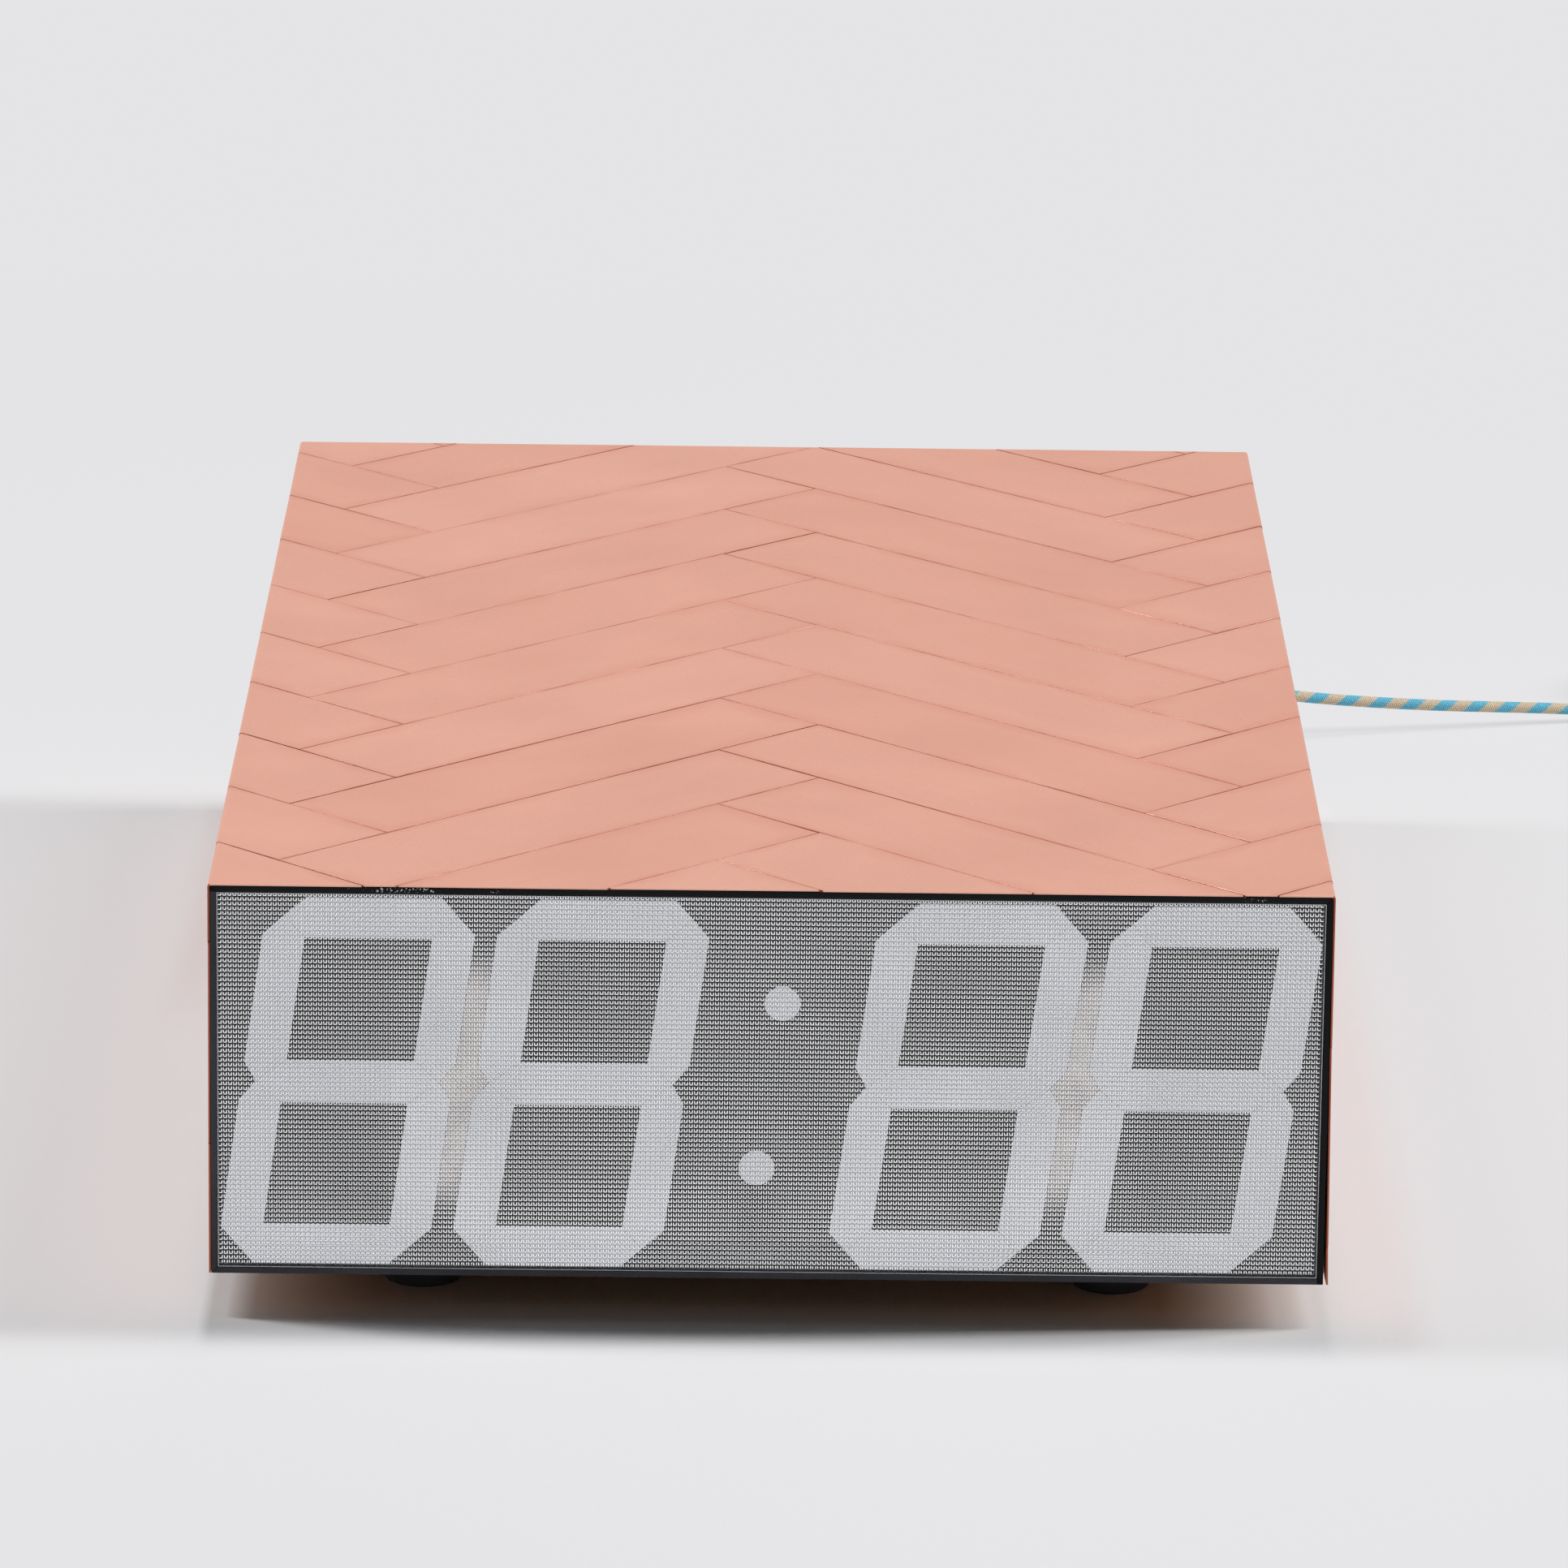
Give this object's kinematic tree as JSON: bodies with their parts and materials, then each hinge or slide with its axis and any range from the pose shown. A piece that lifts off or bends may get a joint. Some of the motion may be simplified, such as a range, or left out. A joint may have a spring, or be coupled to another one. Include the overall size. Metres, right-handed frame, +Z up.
{
  "type": "floor clock",
  "caption": "Low copper-skinned box clock that stands on the floor, with a seven-segment display behind a prismatic sheet, rear controls and a cloth cord.",
  "frame": {"origin": "on the floor under the middle of the box, at the undersides of the rubber feet", "axes": "+X to the right as the display is read, +Y from the display to the back, +Z up"},
  "size_m": [0.8027, 1.0568, 0.182],
  "materials": {
    "black_board": "satin black paint on board",
    "black_panel": "matt black paint on thin board",
    "matt_black_board": "matt black",
    "bare_wood": "planed softwood",
    "copper": "satin, lightly brushed, aged evenly",
    "clear_acrylic": "polished outside, prisms inside",
    "white_light_guide": "translucent white",
    "smoky_light_guide": "smoky, translucent",
    "green_circuit": "solder mask",
    "led_plastic": "clear lens",
    "nylon": "moulded",
    "black_plastic": "moulded, fine texture",
    "gloss_black_plastic": "polished",
    "grey_cable": "ribbed",
    "black_cable": "extruded",
    "sheet_aluminium": "pressed sheet",
    "zinc_steel": "zinc plated",
    "bright_steel": "nickel plated",
    "black_steel": "black oxide",
    "spring_steel": "drawn wire",
    "black_rubber": "moulded",
    "black_strap": "flexible",
    "cloth_cord": "braided cloth with a blue and beige stripe",
    "brass": "bright"
  },
  "bodies": {
    "clock": {"back_panel": "black_panel", "back_panel_screws": "black_steel", "board_screws": "zinc_steel", "board_spacers": "nylon", "bottom_board": "black_board", "button_bodies": "black_plastic", "coil_tie": "black_strap", "coin_cell": "bright_steel", "coin_cell_holder": "black_plastic", "colon_dots": "white_light_guide", "controller_board": "green_circuit", "controller_chips": "black_plastic", "copper_centre_left": "copper", "copper_centre_right": "copper", "copper_left_edge": "copper", "copper_right_edge": "copper", "copper_skirts": "copper", "cord_coil": "cloth_cord", "cord_gland": "black_plastic", "cord_run": "cloth_cord", "cord_tail": "cloth_cord", "digit_1_segments": "white_light_guide", "digit_2_segments": "white_light_guide", "digit_3_segments": "white_light_guide", "digit_4_segments": "white_light_guide", "digit_bridges": "smoky_light_guide", "dimmer_button_spring": "spring_steel", "display_board": "matt_black_board", "display_circuits": "green_circuit", "display_leds": "led_plastic", "foot_screws": "zinc_steel", "foot_washers": "zinc_steel", "hour_button_spring": "spring_steel", "left_board": "black_board", "low_voltage_leads": "black_cable", "mains_leads": "black_cable", "minute_button_spring": "spring_steel", "panel_nuts": "bright_steel", "plug_blades": "brass", "plug_body": "black_plastic", "power_supply_circuit": "green_circuit", "power_supply_cover": "sheet_aluminium", "power_supply_screws": "zinc_steel", "power_supply_tray": "sheet_aluminium", "prismatic_sheet": "clear_acrylic", "quartz_crystal": "zinc_steel", "rear_battens": "bare_wood", "ribbon_cables": "grey_cable", "ribbon_headers": "black_plastic", "right_board": "black_board", "rocker_housing": "black_plastic", "rocker_pin": "bright_steel", "rubber_feet": "black_rubber", "strain_relief": "black_rubber", "terminal_block": "black_plastic", "top_board": "black_board"},
    "hour_button": {"hour_button_cap": "black_plastic"},
    "minute_button": {"minute_button_cap": "black_plastic"},
    "dimmer_button": {"dimmer_button_cap": "black_plastic"},
    "power_switch": {"power_rocker": "gloss_black_plastic"}
  },
  "joints": [
    {"name": "hour_press", "type": "slide", "parent": "clock", "child": "hour_button", "axis": [0, -1, 0], "range_m": [0, 0.0015], "stiffness_N_per_m": 600, "springref_m": -0.002, "deforming": ["hour_button_spring"]},
    {"name": "minute_press", "type": "slide", "parent": "clock", "child": "minute_button", "axis": [0, -1, 0], "range_m": [0, 0.0015], "stiffness_N_per_m": 600, "springref_m": -0.002, "deforming": ["minute_button_spring"]},
    {"name": "dimmer_press", "type": "slide", "parent": "clock", "child": "dimmer_button", "axis": [0, -1, 0], "range_m": [0, 0.0015], "stiffness_N_per_m": 600, "springref_m": -0.002, "deforming": ["dimmer_button_spring"]},
    {"name": "power_rock", "type": "hinge", "parent": "clock", "child": "power_switch", "pos_m": [0.095, 0.357, 0.074], "axis": [1, 0, 0], "range_deg": [0, 18]}
  ]
}
